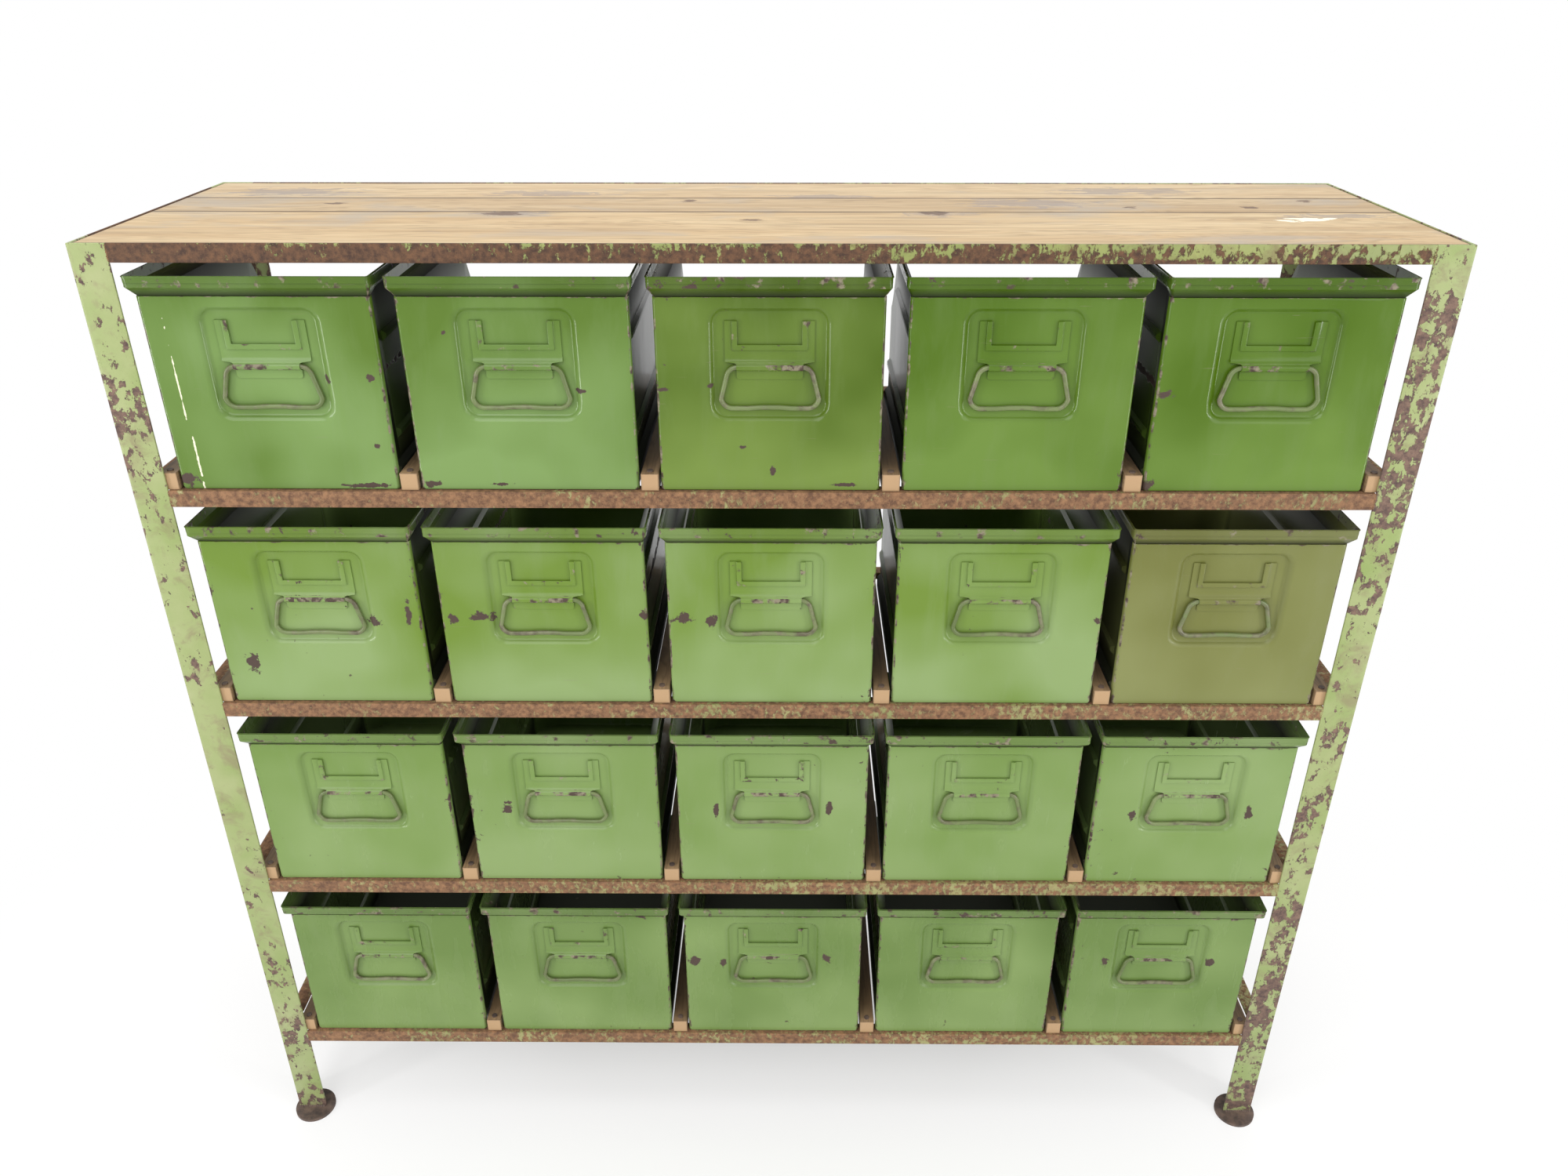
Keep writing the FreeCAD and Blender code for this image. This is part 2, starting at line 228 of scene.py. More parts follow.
def cut_height(y):
    """Top edge of a side wall behind the rim, where it sweeps down to the rear wall."""
    along = (y - RIM_END) / (BIN_REAR - RIM_END)
    sweep_shares = (
        (0, 1), (0.12, 0.79), (0.23, 0.615), (0.38, 0.405), (0.558, 0.239), (0.78, 0.095), (1, 0))
    for (a, high), (b, low) in zip(sweep_shares, sweep_shares[1:]):
        if along <= b + 0.001:
            share = high + (low - high) * (along - a) / (b - a)
            return REAR_HEIGHT + share * (WALL_TOP - REAR_HEIGHT)
    return REAR_HEIGHT


def bin_sheet():
    """Walls, floor and rim of a bin, folded up from one plane."""
    centre = (0, (WALL_FRONT + BIN_REAR) / 2, 0)
    piece = primitive(bpy.ops.mesh.primitive_plane_add, "bin_sheet", size=1, location=centre)
    widen(2 * SIDE, BIN_REAR - WALL_FRONT, 1, centre)
    bpy.ops.mesh.flip_normals()
    pick(piece, "VERT", lambda at, v: at.y < centre[1])
    round_corners(CORNER, 3)
    pick(piece, "VERT", lambda at, v: at.y > BIN_REAR - TINY)
    round_corners(REAR_CORNER, 9)
    sweep_cuts = (13, 26, 38, 50, 62)
    ys = [FLARE_START, FLARE_END, RIB_START, RIB_HEIGHTS[0][1], RIM_END]
    ys += [RIM_END + step * MM for step in sweep_cuts]
    for y in ys:
        cut_all((0, y, 0), (0, 1, 0))
    pick(piece, "EDGE", lambda at, e: e.is_boundary)
    extrude(0, 0, WALL_TOP)
    pick(piece, "EDGE", lambda at, e: e.is_boundary and at.z > WALL_TOP - TINY and at.y < RIM_END)
    extrude(0, 0, SHOULDER_DROP)
    push(SHOULDER_OUT)
    tighten_lip(piece)
    pick(piece, "EDGE", lambda at, e: e.is_boundary and at.z > WALL_TOP + SHOULDER_DROP - TINY)
    extrude(0, 0, LIP)
    push(0.01 * MM)
    extrude(0, 0, 0)
    push(-LIP_WIDTH)
    extrude(0, 0, -LIP_TURN)
    for side in (-1, 1):
        pick(piece, "VERT",
             lambda at, v: at.z < WALL_TOP + TINY and at.y < FLARE_START + TINY and at.x * side > 0)
        move(side * FLARE, 0, 0)
    pick(piece, "VERT", lambda at, v: at.z > WALL_TOP - TINY and at.y > RIM_END + TINY)
    mesh = bmesh.from_edit_mesh(piece.data)
    for vert in mesh.verts:
        if vert.select:
            vert.co.z = cut_height(vert.co.y)
    bmesh.update_edit_mesh(piece.data)
    press_ribs(piece)
    spread_foot(piece)
    open_front(piece)
    pick(piece, "EDGE", lambda at, e: at.z < TINY and e.is_manifold and e.calc_face_angle(0) > 1)
    round_edges(FLOOR_FOLD, 3)
    edit_done()
    modify(piece, "BEVEL", width=RIM_FOLD, segments=3, limit_method="ANGLE", angle_limit=math.radians(30))
    modify(piece, "SOLIDIFY", thickness=SHEET, offset=-1, material_offset=2, material_offset_rim=1)

    # painted shade under the lip and on the side walls between the bins, and a little darker lip, kept at
    # the sheet's points
    lip_darkening, side_shade, lip_wear = 0.24, 0.45, 0.70
    shoulder_low, shoulder_high = WALL_TOP - 0.1 * MM, WALL_TOP + SHOULDER_DROP - 0.5 * MM

    def sheet_shade_and_grime(at):
        """Painted shade, full under the lip and on the side walls' feet between the bins, thinner on the
        side walls behind the front; the lip a little darker.
        """
        if at.y < RIM_END and shoulder_low < at.z < shoulder_high:
            return 1
        if at.z > shoulder_low:
            return lip_darkening
        if at.y < FLARE_END - TINY or abs(at.x) < SIDE - 2 * SHEET:
            return 0
        return 1 if at.z < FOOT_RIB + TINY else side_shade

    def sheet_wear(at, turn):
        return max(turn, lip_wear) if at.z > WALL_TOP + SHOULDER_DROP else turn

    mark_folds(piece, sheet_shade_and_grime, sheet_wear)
    smooth(piece)
    return piece


def tighten_lip(piece):
    """Draw the lip's wide front corners out to tight ones."""
    wide = CORNER + SHOULDER_OUT
    x, y = SIDE + SHOULDER_OUT, WALL_FRONT - SHOULDER_OUT
    for side in (-1, 1):
        pick(piece, "VERT", lambda at, v: at.z > WALL_TOP + TINY
             and side * at.x > x - wide - TINY and at.y < y + wide + TINY)
        widen(LIP_CORNER / wide, LIP_CORNER / wide, 1, (side * x, y, 0))


def press_ribs(piece):
    """Two long ribs pressed outwards in each side wall."""
    def on_side(at):
        return abs(abs(at.x) - SIDE) < TINY and RIB_START < at.y < BIN_REAR - REAR_CORNER and at.z > TINY

    for height, _ in RIB_HEIGHTS:
        for edge in (height - RIB_HALF, height + RIB_HALF):
            pick(piece, "FACE", lambda at, f: on_side(at))
            cut((0, 0, edge), (0, 0, 1))
    pick(piece, "FACE", lambda at, f: on_side(at) and at.y > RIB_HEIGHTS[0][1])
    cut((0, RIB_HEIGHTS[1][1], 0), (0, 1, 0))
    for height, end in RIB_HEIGHTS:
        pick(piece, "FACE", lambda at, f: on_side(at) and abs(at.z - height) < RIB_HALF and at.y < end)
        bpy.ops.mesh.inset(thickness=RIB_SLOPE, depth=RIB_DEPTH)


def spread_foot(piece):
    """Keep the lower edge of each side wall as wide as the front."""
    end = RIB_HEIGHTS[1][1]
    for z in (FOOT_RIB - FOOT_SLOPE, FOOT_RIB):
        pick(piece, "FACE", lambda at, f: abs(at.x) > SIDE - TINY and at.y < BIN_REAR - REAR_CORNER)
        cut((0, 0, z), (0, 0, 1))
    for y in (end - FOOT_SLOPE, end):
        pick(piece, "FACE", lambda at, f: at.z < FOOT_RIB)
        cut((0, y, 0), (0, 1, 0))
    for side in (-1, 1):
        pick(piece, "VERT", lambda at, v: abs(at.x - side * SIDE) < TINY
             and at.z < FOOT_RIB - FOOT_SLOPE + TINY and at.y < end - FOOT_SLOPE + TINY)
        move(side * FLARE, 0, 0)


def open_front(piece):
    """Window in the front wall behind the pressed recess."""
    for point, normal in (((-WINDOW_HALF, 0, 0), (1, 0, 0)), ((WINDOW_HALF, 0, 0), (1, 0, 0)),
                          ((0, 0, WINDOW_LOW), (0, 0, 1)), ((0, 0, WINDOW_HIGH), (0, 0, 1))):
        pick(piece, "FACE",
             lambda at, f: at.y < WALL_FRONT + TINY and 0 < at.z < WALL_TOP and f.normal.y < -0.99)
        cut(point, normal)
    pick(piece, "FACE", lambda at, f: abs(at.y - WALL_FRONT) < TINY
         and abs(at.x) < WINDOW_HALF and WINDOW_LOW < at.z < WINDOW_HIGH)
    bpy.ops.mesh.delete(type="FACE")


def bin_front():
    """Front sheet with its pressed recess and turned side edges."""
    low, high = SKIN_LOW, WALL_TOP
    centre = (0, SKIN_FRONT, (low + high) / 2)
    upright = (math.pi / 2, 0, 0)
    piece = primitive(bpy.ops.mesh.primitive_plane_add, "bin_front",
                      size=1, location=centre, rotation=upright)
    widen(2 * SKIN_HALF, 1, high - low, centre)
    bpy.ops.mesh.delete(type="ONLY_FACE")
    recess = (0, SKIN_FRONT, RECESS_MIDDLE)
    bpy.ops.mesh.primitive_plane_add(size=1, location=recess, rotation=upright)
    widen(RECESS_WIDTH, 1, RECESS_HEIGHT, recess)
    round_corners(RECESS_CORNER, 6)
    pick(piece, "FACE", lambda at, f: True)
    bpy.ops.mesh.inset(thickness=RECESS_WALL, depth=SKIN_FRONT - RECESS_FLOOR)
    pick(piece, "EDGE", lambda at, e: len(e.link_faces) < 2)
    bpy.ops.mesh.fill(use_beauty=True)
    bpy.ops.mesh.select_all(action="SELECT")
    bpy.ops.mesh.normals_make_consistent(inside=False)
    pick(piece, "FACE", lambda at, f: True)
    mesh = bmesh.from_edit_mesh(piece.data)
    if sum(face.normal.y for face in mesh.faces) > 0:
        bpy.ops.mesh.flip_normals()

    def folded(edge, least):
        return edge.is_manifold and edge.calc_face_angle(0) > least

    pick(piece, "EDGE", lambda at, e: folded(e, 0.5) and at.y > RECESS_FLOOR - TINY)
    round_edges(RECESS_INNER_FOLD, 3)
    pick(piece, "EDGE", lambda at, e: folded(e, 0.5) and at.y < SKIN_FRONT + TINY)
    round_edges(RECESS_OUTER_FOLD, 6)
    pick(piece, "EDGE", lambda at, e: e.is_boundary and abs(at.x) > SKIN_HALF - TINY)
    extrude(0, FLARE_START - SKIN_FRONT, 0)
    pick(piece, "EDGE", lambda at, e: folded(e, 1)
         and abs(at.x) > SKIN_HALF - TINY and abs(at.y - SKIN_FRONT) < TINY)
    round_edges(SKIN_SIDE_FOLD, 4)
    pick(piece, "EDGE", lambda at, e: e.is_boundary and at.z > high - TINY and at.y < SKIN_FRONT + TINY)
    extrude(0, SHEET, 0)
    pick(piece, "EDGE", lambda at, e: folded(e, 1) and at.z > high - TINY and at.y < SKIN_FRONT + TINY)
    round_edges(SKIN_TOP_FOLD, 3)
    # extra edges keep the stored wear close to the sheet's outer edges
    side_cuts, level_cuts = (-117, -98, 98, 117), (5, 24, 214)
    for x in side_cuts:
        cut_all((x * MM, 0, 0), (1, 0, 0))
    for z in level_cuts:
        cut_all((0, 0, z * MM), (0, 0, 1))
    edit_done()
    modify(piece, "SOLIDIFY", thickness=SHEET, offset=-1, material_offset_rim=1)

    def edge_wear(at, turn):
        """Worn along the outer edges and chipped a little way in from them."""
        inner_half, inner_low, inner_high, least = 116 * MM, 6 * MM, 213 * MM, 0.35
        if abs(at.x) < inner_half and inner_low < at.z < inner_high:
            return 0
        return max(turn, least)

    mark_folds(piece, wear=edge_wear)
    smooth(piece)
    return piece


def label_holder():
    """U-shaped card holder that goes over in one piece into the hinge roll and its tab."""
    face = RECESS_FLOOR - SHEET
    low, high, half = 151.5 * MM, 192.3 * MM, 48.2 * MM
    step_x, open_x, step_z, open_z = 40.6, 34.6, 160.5, 166.5
    card_step, sheet, fold, tab_corner = 1.8 * MM, 1.1 * MM, 0.7 * MM, 3 * MM
    centre = (0, face, (low + high) / 2)
    piece = primitive(bpy.ops.mesh.primitive_plane_add, "label_holder",
                      size=1, location=centre, rotation=(math.pi / 2, 0, 0))
    widen(2 * half, 1, high - low, centre)
    for x in (-step_x, -open_x, open_x, step_x):
        cut_all((x * MM, 0, 0), (1, 0, 0))
    for z in (step_z, open_z):
        cut_all((0, 0, z * MM), (0, 0, 1))
    pick(piece, "FACE", lambda at, f: abs(at.x) < open_x * MM and at.z > open_z * MM)
    bpy.ops.mesh.delete(type="FACE")
    pick(piece, "FACE", lambda at, f: abs(at.x) < step_x * MM and at.z > step_z * MM)
    extrude(0, -card_step, 0)
    pick(piece, "EDGE", lambda at, e: e.is_boundary and at.z < low + TINY)
    # the sheet goes on down, narrows, turns round the wire and ends in a tab: (y, z, half width)
    wire_y, wire_z, roll = 8.6, 142.5, 4.05
    strap_half, tab_y, tab_end = 36, 10.75, 128.4
    turns = [(wire_y, 148.3, 48.2), (7.5, 147.3, 39.5)]
    for degrees in (72, 45, 18, -9, -36, -63, -90):
        a = math.radians(degrees)
        turns.append((wire_y - roll * math.cos(a), wire_z + roll * math.sin(a), strap_half))
    turns += [(tab_y, 137.4, strap_half), (tab_y, tab_end, strap_half)]
    y, z, wide = face / MM, low / MM, half / MM
    for to_y, to_z, to_wide in turns:
        extrude(0, (to_y - y) * MM, (to_z - z) * MM)
        widen(to_wide / wide, 1, 1, (0, 0, 0))
        y, z, wide = to_y, to_z, to_wide
    pick(piece, "VERT", lambda at, v: at.z < tab_end * MM + TINY and abs(at.x) > 35 * MM)
    round_corners(tab_corner, 3)
    edit_done()
    modify(piece, "BEVEL", width=fold, segments=2, limit_method="ANGLE", angle_limit=math.radians(40))
    modify(piece, "SOLIDIFY", thickness=sheet, offset=-1)
    strap_wear, holder_wear, strap_top = 0.95, 0.72, 148.5 * MM
    mark_folds(piece, wear=lambda at, turn: (strap_wear if at.z < strap_top else holder_wear) * turn)
    smooth(piece, 45)
    return piece


def handle_loop():
    """Closed wire loop, a ring pulled out to a handle that is wider below."""
    facets = 28
    grip_cuts, grip_top = (-24, -10, 10, 24), 101 * MM
    bow_top, bow_half, bow = 103 * MM, 11 * MM, 1.1 * MM
    centre = Vector((0, HINGE.y, 119 * MM))
    piece = primitive(bpy.ops.mesh.primitive_torus_add, "handle_loop",
                      major_segments=facets, minor_segments=12, major_radius=WIRE_BEND, minor_radius=WIRE,
                      location=centre, rotation=(math.pi / 2, math.pi / facets, 0))
    top = (LOOP_TOP_HALF, HINGE.z - WIRE_BEND - centre.z)
    low = (LOOP_LOW_HALF, HINGE.z - LOOP_DROP + WIRE_BEND - centre.z)
    for side in (-1, 1):
        pick(piece, "VERT", lambda at, v: at.x * side > 0 and at.z > centre.z)
        move(side * top[0], 0, top[1])
        pick(piece, "VERT", lambda at, v: at.x * side > 0 and at.z < centre.z)
        move(side * low[0], 0, low[1])
    # the grip's middle is bowed up a little
    for x in grip_cuts:
        pick(piece, "FACE", lambda at, f: at.z < grip_top)
        cut((x * MM, 0, 0), (1, 0, 0))
    pick(piece, "VERT", lambda at, v: at.z < bow_top and abs(at.x) < bow_half)
    move(0, 0, bow)
    edit_done()
    mark_folds(piece)
    smooth(piece, 60)
    return piece


# Iron of the rack

def angle_iron(name, leg, length):
    """Angle iron with its outer corner on the Z axis, its legs along X and Y."""
    thick, worn_edge = 3 * MM, 0.8 * MM
    piece = primitive(bpy.ops.mesh.primitive_cube_add, name, size=1, location=(0.5, 0.5, 0.5))
    widen(leg, thick, length, (0, 0, 0))
    cut((thick, 0, 0), (1, 0, 0))
    pick(piece, "FACE", lambda at, f: f.normal.y > 0.9 and at.x < thick)
    extrude(0, leg - thick, 0)
    edit_done()
    modify(piece, "BEVEL", width=worn_edge, segments=2, limit_method="ANGLE", angle_limit=math.radians(50))
    mark_folds(piece)
    smooth(piece, 40)
    return piece


def turned(corner, leg_a, leg_b, along):
    """Matrix that lays an angle iron from a corner, with its legs and length along the axes given."""
    a, b, run = Vector(leg_a), Vector(leg_b), Vector(along)
    if a.cross(b).dot(run) < 0:
        a, b = b, a
    return Matrix.Translation(corner) @ Matrix((a, b, run)).transposed().to_4x4()


# Finishes

def new_finish(name):
    material = bpy.data.materials.new(name)
    material.use_nodes = True
    tree = material.node_tree
    shader = tree.nodes["Principled BSDF"]
    return material, tree, shader


def put(tree, kind, **inputs):
    """Add a node; inputs are sockets to link, socket values, or node settings."""
    node = tree.nodes.new("ShaderNode" + kind)
    for key, value in inputs.items():
        if hasattr(node, key):
            setattr(node, key, value)
            continue
        name = key.replace("_", " ")
        socket = next(s for s in node.inputs if s.name == name and s.enabled)
        if isinstance(value, bpy.types.NodeSocket):
            tree.links.new(value, socket)
        else:
            socket.default_value = value
    return node


def out(node):
    return next(s for s in node.outputs if s.enabled)


def place(tree, scale=(1, 1, 1), turn=(0, 0, 0), shift=0.0):
    """Place in the object's own space, stretched, turned or shifted."""
    here = tree.nodes.new("ShaderNodeTexCoord").outputs["Object"]
    return out(put(tree, "Mapping", Vector=here, Scale=scale, Rotation=turn,
                   Location=(shift, shift, shift)))


def clouds(tree, vector, scale, detail=3, rough=0.5, warp=0):
    noise = put(tree, "TexNoise", Vector=vector, Scale=scale,
                Detail=detail, Roughness=rough, Distortion=warp)
    return noise.outputs["Fac"]


def ramp(tree, value, **ends):
    """Map a value from one range to another; From_Min, From_Max, To_Min and To_Max are its ends."""
    return out(put(tree, "MapRange", Value=value, clamp=True, **ends))


def stored(tree, name):
    """A value kept at the points of the mesh."""
    return put(tree, "Attribute", attribute_name=name).outputs["Fac"]


def steps(tree, value, low, high):
    """0 below low, 1 above high."""
    return ramp(tree, value, From_Min=low, From_Max=high)


def sums(tree, operation, a, b):
    node = tree.nodes.new("ShaderNodeMath")
    node.operation = operation
    for socket, value in zip(node.inputs, (a, b)):
        if isinstance(value, bpy.types.NodeSocket):
            tree.links.new(value, socket)
        else:
            socket.default_value = value
    return node.outputs[0]


def blend(tree, factor, a, b):
    """Mix two colours."""
    node = tree.nodes.new("ShaderNodeMix")
    node.data_type = "RGBA"
    for socket, value in ((node.inputs[0], factor), (node.inputs[6], a), (node.inputs[7], b)):
        if isinstance(value, bpy.types.NodeSocket):
            tree.links.new(value, socket)
        elif socket == node.inputs[0]:
            socket.default_value = value
        else:
            socket.default_value = (*value, 1)
    return node.outputs[2]


def bumps(tree, height, strength, distance, under=None):
    inputs = {"Height": height, "Strength": strength, "Distance": distance}
    if under is not None:
        inputs["Normal"] = under
    return put(tree, "Bump", **inputs).outputs[0]


# near-black colour of the painted shade under the lips and between the bins
SHADE_AND_GRIME_DARK = (0.010, 0.011, 0.005)
RUST = (0.065, 0.041, 0.032)
BARE = (0.22, 0.19, 0.13)
CREAM = (0.72, 0.70, 0.52)


def patch(tree, here, noise, spots, level=False):
    """1 inside ragged spots, each (x, z, half width, half height) in mm, or (x, y, ...) if level.

    The noise is about 0.5, so a spot ends where its distance, 1 at the rim, and 5 noises make 3.5.
    """
    tighter = 0.85
    found = None
    for x, z, wide, high in spots:
        wide, high = tighter * wide, tighter * high
        scale, shift = [1 / (wide * MM), 0, 1 / (high * MM)], [-x / wide, 0, -z / high]
        if level:
            scale, shift = [scale[0], scale[2], 0], [shift[0], shift[2], 0]
        at = put(tree, "VectorMath", operation="MULTIPLY_ADD")
        tree.links.new(here, at.inputs[0])
        at.inputs[1].default_value = scale
        at.inputs[2].default_value = shift
        length = put(tree, "VectorMath", operation="LENGTH")
        tree.links.new(at.outputs[0], length.inputs[0])
        away = length.outputs["Value"]
        found = away if found is None else sums(tree, "MINIMUM", found, away)
    ragged = sums(tree, "ADD", found, sums(tree, "MULTIPLY", noise, 5))
    return ramp(tree, ragged, From_Min=3.55, From_Max=3.4)


def bin_paint(name, row, tone, pale, floor_sheen, chips, sheen, spots=(), streaks=()):
    """Glossy green paint of one row's bins, painted paler towards the feet as a painted reflection of the
    bright floor, worn along folds and chipped.
    """
    material, tree, shader = new_finish(name)
    shader.inputs["Specular IOR Level"].default_value = 0.3
    here = place(tree)
    wide = clouds(tree, here, 5.5, 2, 0.5)
    fine = clouds(tree, here, 60, 5, 0.6)
    height = put(tree, "SeparateXYZ", Vector=here).outputs[2]
    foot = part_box(f"bin_r{row}_c1")[0][2]
    # painted reflection of the bright floor: paler towards the feet, deeper towards the rim
    lower = ramp(tree, height, From_Min=foot, From_Max=foot + WALL_TOP, To_Min=floor_sheen, To_Max=-floor_sheen)
    colour = blend(tree, steps(tree, sums(tree, "ADD", wide, lower), 0.34, 0.66), tone, pale)
    dusty = clouds(tree, place(tree, (9, 9, 2.2)), 3.5, 4, 0.65, 0.4)
    dust = [0.8 * v + 0.06 for v in pale]
    colour = blend(tree, sums(tree, "MULTIPLY", steps(tree, dusty, 0.5, 0.8), 0.22), colour, dust)
    fold = stored(tree, "fold")
    rubbed = steps(tree, sums(tree, "ADD", sums(tree, "MULTIPLY", fold, 0.36), fine), 0.83, 0.90)
    worn = blend(tree, steps(tree, clouds(tree, here, 130, 3), 0.42, 0.58), RUST, BARE)
    # painted shade: near black under the lip and on the side walls between the bins, a little on the lip
    shade_and_grime = stored(tree, "shade_and_grime")
    colour = blend(tree, sums(tree, "MULTIPLY", shade_and_grime, 0.95), colour, SHADE_AND_GRIME_DARK)
    colour = blend(tree, rubbed, colour, worn)
    flakes = clouds(tree, here, 75, 7, 0.68, 0.3)
    patches = clouds(tree, here, 7.5, 3, 0.5)
    loss = sums(tree, "ADD", flakes, sums(tree, "MULTIPLY", patches, 0.35))
    loss = sums(tree, "ADD", loss, sums(tree, "MULTIPLY", fold, 0.13))
    chip = steps(tree, loss, chips + 0.25, chips + 0.262)
    if spots:
        chip = sums(tree, "MAXIMUM", chip, patch(tree, here, flakes, spots))
    colour = blend(tree, chip, colour, RUST)
    scratch = clouds(tree, place(tree, (7, 7, 150), (0, 0.9, 0)), 3, 2, 0.5)
    colour = blend(tree, sums(tree, "MULTIPLY", steps(tree, scratch, 0.735, 0.76), 0.3), colour, BARE)
    if streaks:
        colour = blend(tree, patch(tree, here, fine, streaks), colour, CREAM)
    tree.links.new(colour, shader.inputs["Base Color"])
    gloss = ramp(tree, dusty, From_Min=0.2, From_Max=0.8, To_Min=sheen - 0.04, To_Max=sheen + 0.09)
    marred = sums(tree, "MAXIMUM", sums(tree, "MAXIMUM", chip, rubbed), shade_and_grime)
    dull = sums(tree, "MULTIPLY", marred, 0.6)
    tree.links.new(sums(tree, "MAXIMUM", gloss, dull), shader.inputs["Roughness"])
    normal = bumps(tree, wide, 0.5, 0.006)
    normal = bumps(tree, clouds(tree, here, 26, 2, 0.5), 0.12, 0.0006, normal)
    normal = bumps(tree, sums(tree, "MULTIPLY", chip, -1), 0.5, 0.0003, normal)
    tree.links.new(normal, shader.inputs["Normal"])
    return material


def bare_edge():
    """Cut sheet edge rubbed to grey-brown metal."""
    material, tree, shader = new_finish("worn_sheet_edge")
    wear = clouds(tree, place(tree), 90, 5, 0.65)
    colour = blend(tree, steps(tree, wear, 0.38, 0.62), (0.12, 0.10, 0.05), (0.45, 0.42, 0.34))
    tree.links.new(colour, shader.inputs["Base Color"])
    shader.inputs["Roughness"].default_value = 0.5
    return material


def shaded_dusty_inside():
    """Dull green paint of the bins' insides, painted near black as painted shade, with dust and marks."""
    material, tree, shader = new_finish("bin_inside_shaded")
    here = place(tree)
    dust = clouds(tree, here, 9, 5, 0.65, 0.4)
    # painted shade: the insides' greens are near black
    colour = blend(tree, steps(tree, dust, 0.35, 0.7), (0.004, 0.008, 0.004), (0.014, 0.022, 0.010))
    marks = clouds(tree, place(tree, (40, 40, 5)), 3, 3, 0.6)
    marks = sums(tree, "MULTIPLY", steps(tree, marks, 0.62, 0.7), 0.4)
    colour = blend(tree, marks, colour, (0.10, 0.10, 0.08))
    tree.links.new(colour, shader.inputs["Base Color"])
    tree.links.new(ramp(tree, dust, To_Min=0.3, To_Max=0.55), shader.inputs["Roughness"])
    shader.inputs["Specular IOR Level"].default_value = 0.35
    tree.links.new(bumps(tree, dust, 0.2, 0.001), shader.inputs["Normal"])
    return material


def handle_paint():
    """Green paint rubbed off the wire, down to brown steel."""
    material, tree, shader = new_finish("worn_wire_paint")
    here = place(tree)
    wear = clouds(tree, here, 45, 6, 0.65, 0.5)
    broad = clouds(tree, here, 9, 2, 0.5)
    worn = steps(tree, sums(tree, "ADD", wear, sums(tree, "MULTIPLY", broad, 0.5)), 0.70, 0.88)
    green = blend(tree, steps(tree, broad, 0.35, 0.65), (0.10, 0.135, 0.04), (0.17, 0.215, 0.08))
    steel = blend(tree, steps(tree, clouds(tree, here, 120, 4), 0.4, 0.6),
                  (0.085, 0.072, 0.040), (0.165, 0.155, 0.092))
    tree.links.new(blend(tree, worn, green, steel), shader.inputs["Base Color"])
    shader.inputs["Roughness"].default_value = 0.34
    tree.links.new(bumps(tree, wear, 0.4, 0.0004), shader.inputs["Normal"])
    return material


def flaking_paint(name, paints, rusts, amount, right_gain, bands, grain, soft):
    """Old paint on iron, flaking off in patches to brown rust; bands (height, reach, gain) flake more."""
    material, tree, shader = new_finish(name)
    here = place(tree)
    wide = clouds(tree, here, 11, 2, 0.5)
    paint = blend(tree, steps(tree, clouds(tree, here, 14, 4, 0.6), 0.3, 0.7), *paints)
    shade_and_grime = clouds(tree, here, 30, 6, 0.7, 0.5)
    paint = blend(tree, sums(tree, "MULTIPLY", steps(tree, shade_and_grime, 0.5, 0.66), 0.5), paint, rusts[1])
    rust = blend(tree, steps(tree, clouds(tree, here, 150, 6, 0.75), 0.38, 0.62), *rusts)
    flakes = clouds(tree, place(tree, (1, 1, 0.7)), grain, 8, 0.68, 0.25)
    loss = sums(tree, "ADD", flakes, sums(tree, "MULTIPLY", wide, 0.4))
    axes = put(tree, "SeparateXYZ", Vector=here).outputs
    loss = sums(tree, "ADD", loss, sums(tree, "MULTIPLY", axes[0], -right_gain))
    for height, reach, gain in bands:
        away = sums(tree, "ABSOLUTE", sums(tree, "SUBTRACT", axes[2], height), 0)
        loss = sums(tree, "ADD", loss, ramp(tree, away, From_Max=reach, To_Min=gain, To_Max=0.0))
    loss = sums(tree, "ADD", loss, sums(tree, "MULTIPLY", stored(tree, "fold"), 0.06))
    bare = steps(tree, loss, amount, amount + soft)
    tree.links.new(blend(tree, bare, paint, rust), shader.inputs["Base Color"])
    tree.links.new(ramp(tree, bare, To_Min=0.42, To_Max=0.8), shader.inputs["Roughness"])
    normal = bumps(tree, sums(tree, "MULTIPLY", bare, -1), 0.7, 0.0005)
    normal = bumps(tree, clouds(tree, here, 160, 5, 0.6), 0.25, 0.0004, normal)
    tree.links.new(normal, shader.inputs["Normal"])
    return material


